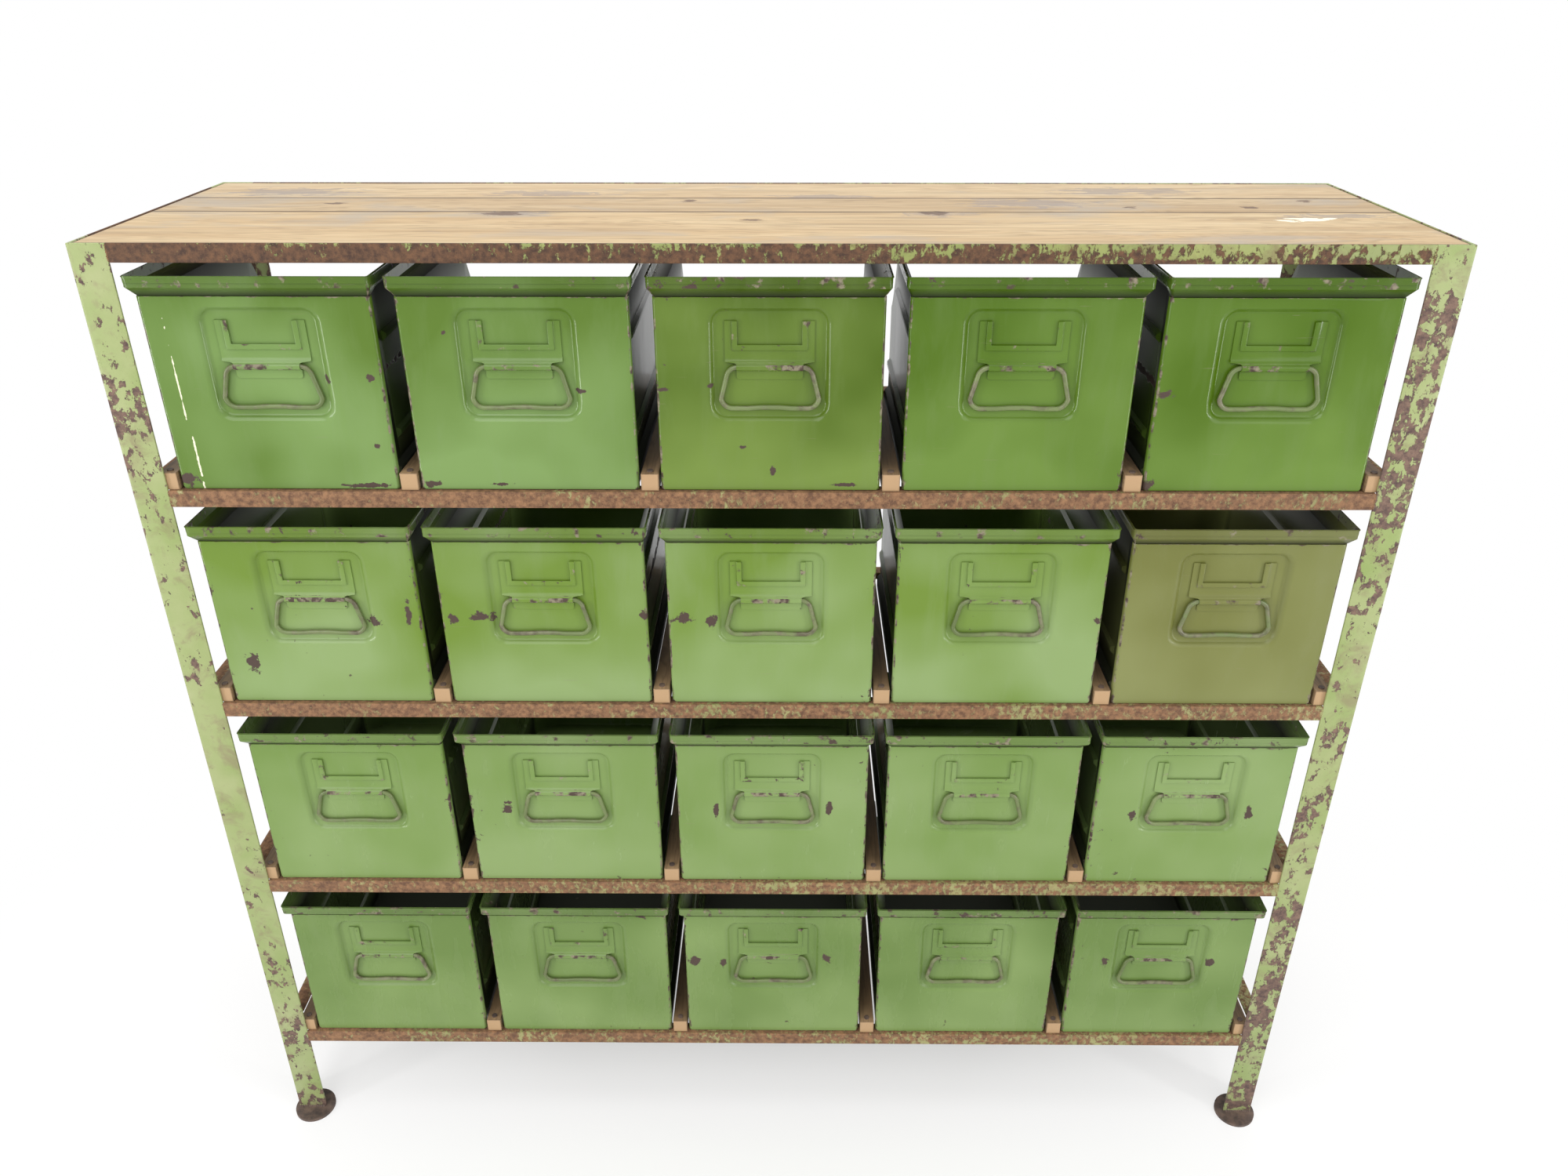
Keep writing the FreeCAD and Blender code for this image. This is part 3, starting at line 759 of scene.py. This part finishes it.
def timber(name, pale, dark, along, shift=0.0, knots=0.0, stains=0.0, ends=0.0, edge=0.3, marks=()):
    """Sawn softwood, its grain along one axis, with knots, stains and paler ends past a distance."""
    material, tree, shader = new_finish(name)
    fine, broad, knotty = [30.0] * 3, [9.0] * 3, [3.4] * 3
    fine[along], broad[along], knotty[along] = 1.1, 0.7, 1.3
    grain = clouds(tree, place(tree, fine, shift=shift), 2.6, 6, 0.7, 0.5)
    bands = clouds(tree, place(tree, broad, shift=shift), 2.2, 4, 0.55, 1.4)
    lines = sums(tree, "SINE", sums(tree, "MULTIPLY", bands, 90), 0)
    colour = blend(tree, steps(tree, bands, 0.3, 0.7), dark, pale)
    lines = sums(tree, "MULTIPLY", steps(tree, lines, 0.1, 1.0), 0.45)
    colour = blend(tree, lines, colour, [0.62 * v for v in dark])
    streaks = sums(tree, "MULTIPLY", steps(tree, grain, 0.52, 0.7), 0.65)
    colour = blend(tree, streaks, colour, [0.5 * v for v in dark])
    if knots:
        cells = put(tree, "TexVoronoi",
                    Vector=place(tree, knotty, shift=shift), Scale=1.0, Randomness=1.0)
        ring = sums(tree, "ADD", cells.outputs["Distance"], sums(tree, "MULTIPLY", grain, 0.05))
        colour = blend(tree, ramp(tree, ring, From_Min=0.14, From_Max=0.06, To_Max=knots),
                       colour, (0.20, 0.11, 0.055))
    if stains:
        blot = clouds(tree, place(tree, (3, 7, 7), shift=shift), 1.6, 5, 0.6, 0.6)
        colour = blend(tree, ramp(tree, blot, From_Min=0.52, From_Max=0.66, To_Max=stains),
                       colour, (0.36, 0.31, 0.25))
    ragged = clouds(tree, place(tree, (20, 60, 60)), 1.5, 5, 0.65, 0.6)
    for tint, strength, spots in marks:
        found = patch(tree, place(tree), ragged, spots, True)
        colour = blend(tree, sums(tree, "MULTIPLY", found, strength), colour, tint)
    if ends:
        axes = put(tree, "SeparateXYZ", Vector=place(tree)).outputs
        cut_end = steps(tree, sums(tree, "ABSOLUTE", axes[along], 0), ends - 0.4 * MM, ends)
        colour = blend(tree, cut_end, colour, [1.12 * v for v in pale])
    # darker along the boards' rounded edges, so the seams between the planks show as dark lines
    darker_edges = sums(tree, "MULTIPLY", stored(tree, "fold"), edge)
    colour = blend(tree, darker_edges, colour, (0.05, 0.032, 0.02))
    tree.links.new(colour, shader.inputs["Base Color"])
    shader.inputs["Roughness"].default_value = 0.6
    tree.links.new(bumps(tree, grain, 0.25, 0.0006), shader.inputs["Normal"])
    return material


def dark_iron():
    """Rough, dark, rusted iron."""
    material, tree, shader = new_finish("dark_rusted_iron")
    wear = clouds(tree, place(tree), 70, 6, 0.65)
    colour = blend(tree, steps(tree, wear, 0.35, 0.65), (0.05, 0.035, 0.03), (0.15, 0.10, 0.075))
    tree.links.new(colour, shader.inputs["Base Color"])
    shader.inputs["Roughness"].default_value = 0.65
    tree.links.new(bumps(tree, wear, 0.4, 0.0005), shader.inputs["Normal"])
    return material


# Larger chips and streaks on the bins' fronts: (x, z, half width, half height) in millimetres
TOP_SPOTS = (
    (-480, 1144, 4, 7), (-431, 1146, 6, 4), (-436, 1068, 4, 3), (-656, 1028, 14, 8),
    (-452, 1021, 26, 3), (-347, 1196, 3, 3), (-206, 1131, 8, 3), (-379, 1023, 9, 5),
    (-303, 1023, 12, 2.5), (-117, 1134, 9, 3), (-65, 1138, 3, 3), (-32, 1068, 5, 3),
    (2, 1040, 4, 5), (80, 1023, 16, 2.5), (428, 1130, 8, 5), (424, 1022, 8, 7))
SECOND_SPOTS = (
    (-631, 787, 10, 14), (-476, 845, 10, 8), (-433, 856, 4, 18), (-345, 851, 16, 7),
    (-381, 849, 7, 6), (-153, 854, 6, 6), (-106, 851, 12, 8), (-70, 848, 6, 9), (390, 849, 5, 6))
THIRD_SPOTS = (
    (-345, 565, 7, 10), (-72, 562, 4, 11), (74, 569, 4, 12), (470, 560, 5, 9), (620, 565, 5, 9))
LOW_SPOTS = (
    (-70, 296, 4, 12), (76, 304, 6, 11), (-110, 299, 8, 12), (466, 300, 5, 9), (612, 300, 5, 9))
STREAKS = ((-642, 1150, 1.1, 46), (-640, 1050, 1.6, 34))

# Each row has its own greens as painted light: the top row's painted deeper where its glossy fronts
# reflect the dark room, the lower rows' painted paler where they reflect the bright floor; within a row
# the bins' own paint differs
fresh_green = bin_paint(
    "bin_paint_fresh", 1, (0.085, 0.155, 0.018), (0.165, 0.265, 0.08),
    floor_sheen=0.13, chips=0.68, sheen=0.14, spots=TOP_SPOTS, streaks=STREAKS)
deep_green = bin_paint(
    "bin_paint_deep", 1, (0.062, 0.125, 0.004), (0.118, 0.203, 0.033),
    floor_sheen=0.15, chips=0.68, sheen=0.14, spots=TOP_SPOTS)
dark_green = bin_paint(
    "bin_paint_dark", 1, (0.060, 0.110, 0.004), (0.138, 0.212, 0.038),
    floor_sheen=0.17, chips=0.65, sheen=0.14, spots=TOP_SPOTS)
mid_green = bin_paint(
    "bin_paint_mid", 2, (0.13, 0.212, 0.028), (0.215, 0.305, 0.115),
    floor_sheen=0.13, chips=0.648, sheen=0.2, spots=SECOND_SPOTS)
olive_green = bin_paint(
    "bin_paint_olive", 2, (0.14, 0.15, 0.036), (0.19, 0.205, 0.07),
    floor_sheen=0.1, chips=0.68, sheen=0.3, spots=SECOND_SPOTS)
pale_green = bin_paint(
    "bin_paint_pale", 3, (0.145, 0.232, 0.055), (0.205, 0.292, 0.106),
    floor_sheen=0.08, chips=0.642, sheen=0.22, spots=THIRD_SPOTS)
low_green = bin_paint(
    "bin_paint_low", 4, (0.115, 0.188, 0.044), (0.18, 0.265, 0.085),
    floor_sheen=0.08, chips=0.638, sheen=0.24, spots=LOW_SPOTS)
BIN_GREENS = {
    1: [fresh_green, fresh_green, dark_green, deep_green, deep_green],
    2: [mid_green] * 4 + [olive_green],
    3: [pale_green] * 5,
    4: [low_green] * 5}
sheet_edge = bare_edge()
shaded_inside_paint = shaded_dusty_inside()
wire_paint = handle_paint()

post_paint = flaking_paint(
    "post_paint",
    paints=((0.235, 0.305, 0.095), (0.325, 0.36, 0.165)),
    rusts=((0.07, 0.042, 0.038), (0.20, 0.125, 0.09)),
    amount=0.832, right_gain=-0.045, bands=((1.08, 0.22, 0.09), (0.12, 0.34, 0.08)),
    grain=85, soft=0.012)
rail_paint = flaking_paint(
    "shelf_rail_paint",
    paints=((0.22, 0.23, 0.08), (0.33, 0.31, 0.125)),
    rusts=((0.10, 0.047, 0.024), (0.27, 0.14, 0.066)),
    amount=0.64, right_gain=0.06, bands=((1.02, 0.5, 0.055),),
    grain=150, soft=0.10)
top_rail_paint = flaking_paint(
    "top_rail_paint",
    paints=((0.17, 0.21, 0.055), (0.28, 0.30, 0.09)),
    rusts=((0.045, 0.021, 0.012), (0.135, 0.064, 0.029)),
    amount=0.70, right_gain=0.13, bands=((1.268, 0.022, 0.10),),
    grain=110, soft=0.05)

# Marks on the planks, each a colour, its strength and its spots: (x, y, half width, half depth)
GREY_STAINS = (
    (300, 45, 75, 30), (-275, 110, 80, 20), (440, 130, 90, 26), (-600, 120, 80, 26),
    (640, -35, 60, 16), (-300, -25, 50, 16), (190, -25, 45, 14), (60, 90, 60, 16))
DARK_KNOTS = (
    (185, -20, 19, 12), (-308, -25, 20, 13), (-20, -60, 12, 8), (560, 20, 11, 8),
    (-520, 40, 12, 8), (420, 20, 9, 7), (640, 60, 10, 8), (-100, 60, 10, 8))
CREAM_SPLASH = ((604, -57, 24, 12), (574, -62, 12, 7), (626, -48, 9, 5))
TOP_MARKS = (
    ((0.25, 0.21, 0.19), 0.6, GREY_STAINS),
    ((0.11, 0.06, 0.035), 0.85, DARK_KNOTS),
    ((0.86, 0.82, 0.66), 0.95, CREAM_SPLASH))
# Each plank's pale and dark wood and how far its grain is shifted
PLANK_WOODS = (
    ((0.60, 0.46, 0.27), (0.45, 0.30, 0.15), 0.0),
    ((0.53, 0.40, 0.24), (0.40, 0.27, 0.14), 7.3),
    ((0.60, 0.47, 0.29), (0.47, 0.32, 0.17), 15.1))
pines = [
    timber(f"worn_pine_{i}", pale, dark, along=0,
           shift=shift, knots=0.9, stains=0.7, edge=0.85, marks=TOP_MARKS)
    for i, (pale, dark, shift) in enumerate(PLANK_WOODS)]
STRIP_END = 188 * MM
strip_wood = timber("strip_wood", (0.36, 0.23, 0.12), (0.21, 0.13, 0.065), along=1, ends=STRIP_END)
iron = dark_iron()


def dress(piece, body, slot, *materials):
    for material in materials:
        piece.data.materials.append(material)
    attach(piece, body)


# Bins and handles

patterns = [bin_sheet(), bin_front(), label_holder()]
loop_pattern = handle_loop()
for row in ROWS:
    for column in COLUMNS:
        tag = f"r{row}_c{column}"
        low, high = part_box("bin_" + tag)
        spot = Matrix.Translation(((low[0] + high[0]) / 2, low[1] + LIP_OVERHANG, low[2]))
        green = BIN_GREENS[row][column - 1]
        for pattern in patterns:
            piece = copy_at(pattern, f"{pattern.name}_{tag}", spot)
            dress(piece, "bin_" + tag, "bin_paint", green, sheet_edge, shaded_inside_paint)
            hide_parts("bin_" + tag)
        piece = copy_at(loop_pattern, f"handle_loop_{tag}", spot)
        dress(piece, "handle_" + tag, "handle_paint", wire_paint)
        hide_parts("handle_" + tag)
for pattern in patterns + [loop_pattern]:
    drop(pattern)

# Posts and rails

HALF_WIDTH = 720 * MM
HALF_DEPTH = 191.5 * MM
FOOT = 4.5 * MM
HEIGHT = 1290 * MM
POST = 40 * MM
RAIL = 20 * MM

post_iron = angle_iron("post_iron", POST, HEIGHT - FOOT)
long_iron = angle_iron("long_iron", RAIL, 2 * (HALF_WIDTH - POST))
side_iron = angle_iron("side_iron", RAIL, 2 * (HALF_DEPTH - POST))
for side, side_name in ((-1, "left"), (1, "right")):
    for end, end_name in ((-1, "front"), (1, "rear")):
        spot = turned((side * HALF_WIDTH, end * HALF_DEPTH, FOOT), (-side, 0, 0), (0, -end, 0), (0, 0, 1))
        name = f"post_{end_name}_{side_name}"
        piece = copy_at(post_iron, name + "_iron", spot)
        dress(piece, "rack", "post_paint", post_paint)
        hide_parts(name)


def rail_ring(level, up, nodes, paint):
    """Four rails at one height; up is 1 where the upright legs stand up from it."""
    for end, node in zip((-1, 1), nodes):
        spot = turned((POST - HALF_WIDTH, end * HALF_DEPTH, level), (0, -end, 0), (0, 0, up), (1, 0, 0))
        piece = copy_at(long_iron, f"{node}_iron_{'front' if end < 0 else 'rear'}", spot)
        dress(piece, "rack", "rail_paint", paint)
        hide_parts(node)
    for side in (-1, 1):
        spot = turned((side * HALF_WIDTH, POST - HALF_DEPTH, level), (-side, 0, 0), (0, 0, up), (0, 1, 0))
        piece = copy_at(side_iron, f"{nodes[2]}_iron_{'left' if side < 0 else 'right'}", spot)
        dress(piece, "rack", "rail_paint", paint)
        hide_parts(nodes[2])


rail_ring(HEIGHT - RAIL, 1, ("top_rail_front", "top_rail_rear", "top_rails_side"), top_rail_paint)
for row in ROWS:
    node = f"shelf_rails_r{row}"
    rail_ring(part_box(node)[1][2], -1, (node, node, node), rail_paint)
for pattern in (post_iron, long_iron, side_iron):
    drop(pattern)

# Boards of the top and strips between the bins

PLANK_ROUND, STRIP_ROUND = 1.6 * MM, 0.7 * MM
STRIPS = 6
STRIP_HALF = 10 * MM


def board(name, low, high, round_off):
    """Sawn board between two corners, its edges slightly rounded."""
    low, high = Vector(low), Vector(high)
    centre = (low + high) / 2
    piece = primitive(bpy.ops.mesh.primitive_cube_add, name, size=1, location=centre)
    widen(*(high - low), centre)
    pick(piece, "EDGE", lambda at, e: True)
    round_edges(round_off, 2)
    for axis in range(3):
        inwards = Vector([float(i == axis) for i in range(3)])
        for corner, step in ((low, 2 * round_off), (high, -2 * round_off)):
            cut_all(corner + step * inwards, inwards)
    edit_done()
    mark_folds(piece)
    smooth(piece, 40)
    return piece


for name, wood in zip(("front", "middle", "rear"), pines):
    node = "top_plank_" + name
    piece = board("top_board_" + name, *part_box(node), PLANK_ROUND)
    dress(piece, "rack", "top_pine", wood)
    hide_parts(node)
for row in ROWS:
    node = f"guide_strips_r{row}"
    low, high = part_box(node)
    for number in range(STRIPS):
        x = (number - (STRIPS - 1) / 2) * BIN_PITCH
        piece = board(f"guide_strip_r{row}_{number + 1}",
                      (x - STRIP_HALF, low[1], low[2]), (x + STRIP_HALF, high[1], high[2]), STRIP_ROUND)
        dress(piece, "rack", "strip_wood", strip_wood)
        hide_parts(node)

# The foot discs and screws keep their shape and take the dark iron
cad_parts["foot_discs"].data.materials[0] = iron
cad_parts["strip_screws"].data.materials[0] = iron


# Weld beads

def weld(name, runs, paint, slot):
    """Uneven beads along straight runs, each (start, end, size), in one piece."""
    rng = random.Random(7)
    piece = primitive(bpy.ops.mesh.primitive_ico_sphere_add, name,
                      subdivisions=1, radius=1 * MM, location=(0, 0, 0))
    edit_done()
    pattern = piece.data
    whole = bmesh.new()
    for start, end, size in runs:
        start, end = Vector(start), Vector(end)
        count = max(2, round((end - start).length / (1.5 * size)))
        for i in range(count):
            at = start.lerp(end, (i + 0.5) / count)
            bead = bmesh.new()
            bead.from_mesh(pattern)
            swell = Matrix.Scale(size / MM * rng.uniform(0.85, 1.15), 4)
            roll = Matrix.Rotation(rng.uniform(0, 3), 4, "X")
            bead.transform(Matrix.Translation(at) @ roll @ swell)
            part = bpy.data.meshes.new("bead")
            bead.to_mesh(part)
            bead.free()
            whole.from_mesh(part)
            bpy.data.meshes.remove(part)
    whole.to_mesh(pattern)
    whole.free()
    smooth(piece, 60)
    dress(piece, "rack", slot, paint)


BEAD, FOOT_BEAD = 1.5 * MM, 2.2 * MM
SUNK = 0.9 * MM


def corner_runs():
    """Upright welds where the rails meet the posts, at the front, the rear and the sides."""
    runs = []
    bead_foot, bead_head = 19 * MM, 1.5 * MM
    tops = [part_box(f"shelf_rails_r{row}")[1][2] for row in ROWS] + [HEIGHT]
    for top in tops:
        for side in (-1, 1):
            for end in (-1, 1):
                x, y = side * (HALF_WIDTH - POST), end * (HALF_DEPTH - SUNK)
                runs.append(((x, y, top - bead_foot), (x, y, top - bead_head), BEAD))
                x, y = side * (HALF_WIDTH - SUNK), end * (HALF_DEPTH - POST)
                runs.append(((x, y, top - bead_foot), (x, y, top - bead_head), BEAD))
    return runs


def foot_runs():
    """Welds between the posts' outer faces and the foot discs."""
    runs = []
    along_front, along_side = 38 * MM, 17 * MM
    for side in (-1, 1):
        for end in (-1, 1):
            x, y, z = side * HALF_WIDTH, end * HALF_DEPTH, FOOT
            runs.append(((x, y, z), (side * (HALF_WIDTH - along_front), y, z), FOOT_BEAD))
            runs.append(((x, y, z), (x, end * (HALF_DEPTH - along_side), z), FOOT_BEAD))
    return runs


weld("rail_welds", corner_runs(), rail_paint, "rail_paint")
weld("foot_welds", foot_runs(), iron, "foot_steel")


# Studio

def seen_directly(tree):
    """1 for what the camera sees by itself, in a shiny surface or through a clear one."""
    rays = put(tree, "LightPath").outputs
    seen = sums(tree, "MAXIMUM", rays["Is Camera Ray"], rays["Is Glossy Ray"])
    return sums(tree, "MAXIMUM", seen, rays["Is Transmission Ray"])


def studio():
    """Pale floor in soft light, white all round."""
    bpy.ops.object.select_all(action="DESELECT")
    bpy.ops.mesh.primitive_plane_add(size=14, location=(0, 1.5, 0))
    floor = bpy.context.object
    floor.name = "studio_floor"
    bpy.ops.object.transform_apply(location=True, rotation=False, scale=False)
    material, tree, shader = new_finish("studio_floor")
    shader.inputs["Base Color"].default_value = (0.9, 0.895, 0.885, 1)
    shader.inputs["Roughness"].default_value = 0.7
    glow = put(tree, "Emission", Color=(1, 1, 1, 1), Strength=1.0)
    away = put(tree, "VectorMath", operation="LENGTH")
    tree.links.new(place(tree, (0.75, 1, 1)), away.inputs[0])
    share = ramp(tree, away.outputs["Value"], From_Min=0.25, From_Max=1.1, To_Min=0.42, To_Max=1.0)
    both = put(tree, "MixShader", Fac=sums(tree, "MULTIPLY", seen_directly(tree), share))
    tree.links.new(shader.outputs[0], both.inputs[1])
    tree.links.new(glow.outputs[0], both.inputs[2])
    tree.links.new(both.outputs[0], tree.nodes["Material Output"].inputs["Surface"])
    floor.data.materials.append(material)
    world = bpy.data.worlds.new("studio")
    bpy.context.scene.world = world
    world.use_nodes = True
    tree = world.node_tree
    back = tree.nodes["Background"]
    back.inputs["Color"].default_value = (1, 1, 1, 1)
    tree.links.new(ramp(tree, seen_directly(tree), To_Min=0.72, To_Max=1.0), back.inputs["Strength"])
    # each lamp's place, what it points at, its width and height, and its power
    lamps = (
        ("key", (-1.3, -2.7, 3.3), (0, 0, 0.7), (2.4, 2.4), 56),
        ("fill", (2.3, -2.4, 2.2), (0, 0, 0.6), (2.0, 2.0), 20),
        ("top", (0, 0.3, 3.6), (0, 0, 0.6), (3.0, 3.0), 42),
        ("left", (-2.5, -1.5, 0.9), (0, -0.2, 0.7), (0.35, 1.7), 24),
        ("right", (2.5, -1.5, 0.9), (0, -0.2, 0.7), (0.35, 1.7), 22))
    for name, spot, aim, size, power in lamps:
        lamp = bpy.data.objects.new(name, bpy.data.lights.new(name, "AREA"))
        lamp.data.shape = "RECTANGLE"
        lamp.data.size, lamp.data.size_y = size
        lamp.data.energy = power
        lamp.location = spot
        lamp.rotation_euler = (Vector(aim) - Vector(spot)).to_track_quat("-Z", "Y").to_euler()
        bpy.context.collection.objects.link(lamp)


def camera():
    """The photograph's viewpoint, worked out from the rack's corners."""
    view = bpy.data.objects.new("camera", bpy.data.cameras.new("camera"))
    view.data.lens = 27.482
    view.data.sensor_width = 36
    view.data.clip_start = 0.05
    to_right, before_front, above_top = 0.0236, 1.2426, 0.2547
    downwards, to_left = 27.616, 0.381
    view.location = (to_right, -HALF_DEPTH - before_front, HEIGHT + above_top)
    view.rotation_euler = (math.radians(90 - downwards), 0, math.radians(to_left))
    bpy.context.collection.objects.link(view)
    bpy.context.scene.camera = view


studio()
camera()
bpy.context.scene.view_settings.view_transform = "Standard"
